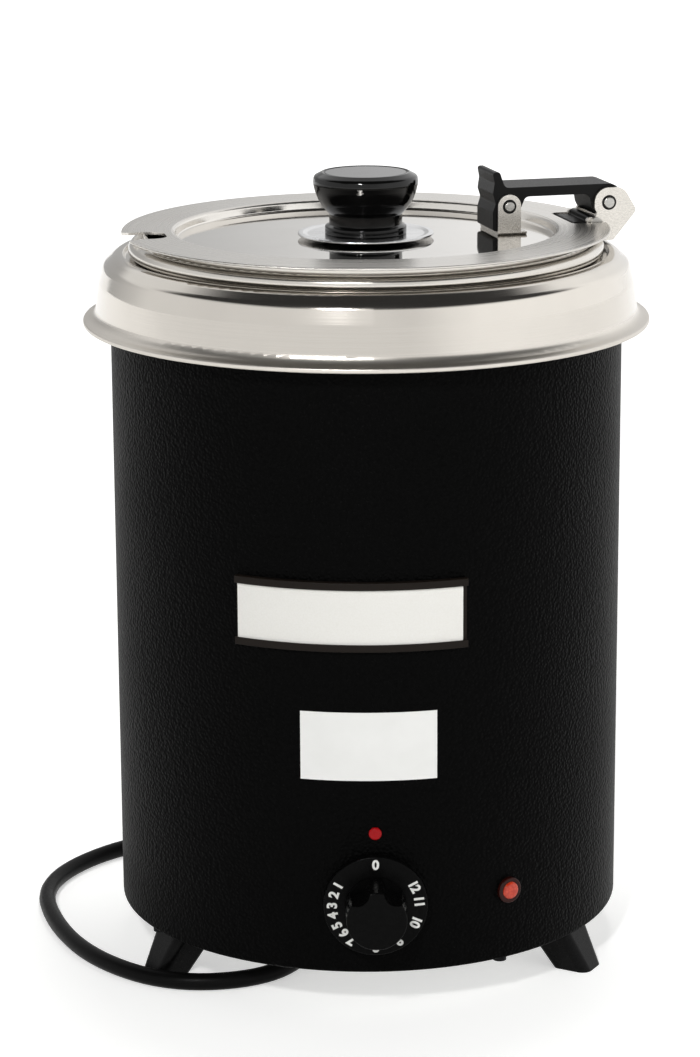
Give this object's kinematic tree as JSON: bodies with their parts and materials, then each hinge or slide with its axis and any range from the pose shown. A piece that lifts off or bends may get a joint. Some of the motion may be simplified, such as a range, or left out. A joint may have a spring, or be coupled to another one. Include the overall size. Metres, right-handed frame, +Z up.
{
  "type": "soup kettle",
  "caption": "Round electric soup kettle: black jacket on splayed feet, steel collar, lift-out pot in a water bath, hinged lid with ladle notch, heat dial, pilot lamp and coiled mains lead.",
  "frame": {"origin": "on the surface that its feet stand on, in the middle of the box round the kettle without its lead; the kettle's own axis stands 6.4 mm behind it, because the dial reaches further forward than the collar's lip", "axes": "+Z up; the dial faces -Y; +X is to the right as seen from the front"},
  "size_m": [0.3025, 0.4024, 0.3791],
  "materials": {
    "wrinkle_black": "matt wrinkle powder coat",
    "stainless": "satin",
    "zinc_steel": "plain",
    "spreader_aluminium": "plain",
    "capillary_copper": "plain",
    "knob_chrome": "polished",
    "black_phenolic": "semi-gloss",
    "black_plastic": "fine grain",
    "cord_black": "matt",
    "lamp_red": "clear red",
    "bezel_red": "red brown",
    "channel_brown": "satin",
    "card_white": "plain",
    "wool_yellow": "fibrous",
    "terminal_cream": "plain",
    "wire_brown": "plain",
    "pin_brass": "nickelled"
  },
  "bodies": {
    "housing": {"body_shell": "wrinkle_black", "collar": "stainless", "base_plate": "zinc_steel", "base_screws": "zinc_steel", "foot_left": "black_plastic", "foot_right": "black_plastic", "foot_rear": "black_plastic", "foot_screws": "zinc_steel", "water_well": "stainless", "insulation_wrap": "wool_yellow", "bath_studs": "zinc_steel", "heat_spreader": "spreader_aluminium", "heating_element": "zinc_steel", "element_clamp": "zinc_steel", "clamp_nuts": "zinc_steel", "overheat_cutout": "zinc_steel", "sensor_bulb": "zinc_steel", "capillary_tube": "capillary_copper", "thermostat_case": "black_plastic", "thermostat_screws": "zinc_steel", "index_pip": "lamp_red", "pilot_case": "black_plastic", "pilot_bezel": "bezel_red", "pilot_lens": "lamp_red", "pilot_clip": "zinc_steel", "terminal_block": "terminal_cream", "terminal_screws": "zinc_steel", "wire_element": "wire_brown", "wire_thermostat": "wire_brown", "wire_lamp": "wire_brown", "cord_gland": "black_plastic", "cord_lead": "cord_black", "cord_coil": "cord_black", "cord_tie": "black_plastic", "plug_body": "black_plastic", "plug_pins": "pin_brass", "label_holder": "channel_brown", "blank_label": "card_white"},
    "pot": {"inset_pot": "stainless", "rim_clamp": "black_plastic", "hinge_plate_front": "stainless", "hinge_plate_rear": "stainless", "clamp_screws": "zinc_steel", "arm_pin": "zinc_steel", "arm_pin_rings": "black_plastic"},
    "arm": {"hinge_arm": "black_plastic"},
    "lid": {"lid": "stainless", "lid_clevis": "stainless", "clevis_rivets": "zinc_steel", "clevis_pin": "zinc_steel", "clevis_pin_rings": "black_plastic", "knob_plate": "knob_chrome", "lid_knob": "black_phenolic", "knob_washer": "zinc_steel", "knob_screw": "zinc_steel"},
    "dial": {"dial_knob": "black_phenolic", "thermostat_shaft": "zinc_steel"},
    "card": {"label_card": "card_white"}
  },
  "joints": [
    {"name": "pot_lift", "type": "slide", "parent": "housing", "child": "pot", "axis": [0, 0, 1], "range_m": [0, 0.26]},
    {"name": "arm_pivot", "type": "hinge", "parent": "pot", "child": "arm", "pos_m": [0.11348, 0.03364, 0.3614], "axis": [-0.2334, 0.9724, 0], "range_deg": [0, 100]},
    {"name": "lid_pivot", "type": "hinge", "parent": "arm", "child": "lid", "pos_m": [0.06515, 0.02204, 0.3614], "axis": [-0.2334, 0.9724, 0], "range_deg": [-10, 0]},
    {"name": "dial_turn", "type": "hinge", "parent": "housing", "child": "dial", "pos_m": [0, -0.1236, 0.058], "axis": [0, 1, 0], "range_deg": [0, 297]},
    {"name": "card_slide", "type": "hinge", "parent": "housing", "child": "card", "pos_m": [0, 0.0064, 0.195], "axis": [0, 0, 1], "range_deg": [0, 50]}
  ],
  "couplings": [
    {"joint": "lid_pivot", "follows": "arm_pivot", "ratio": -0.1}
  ]
}
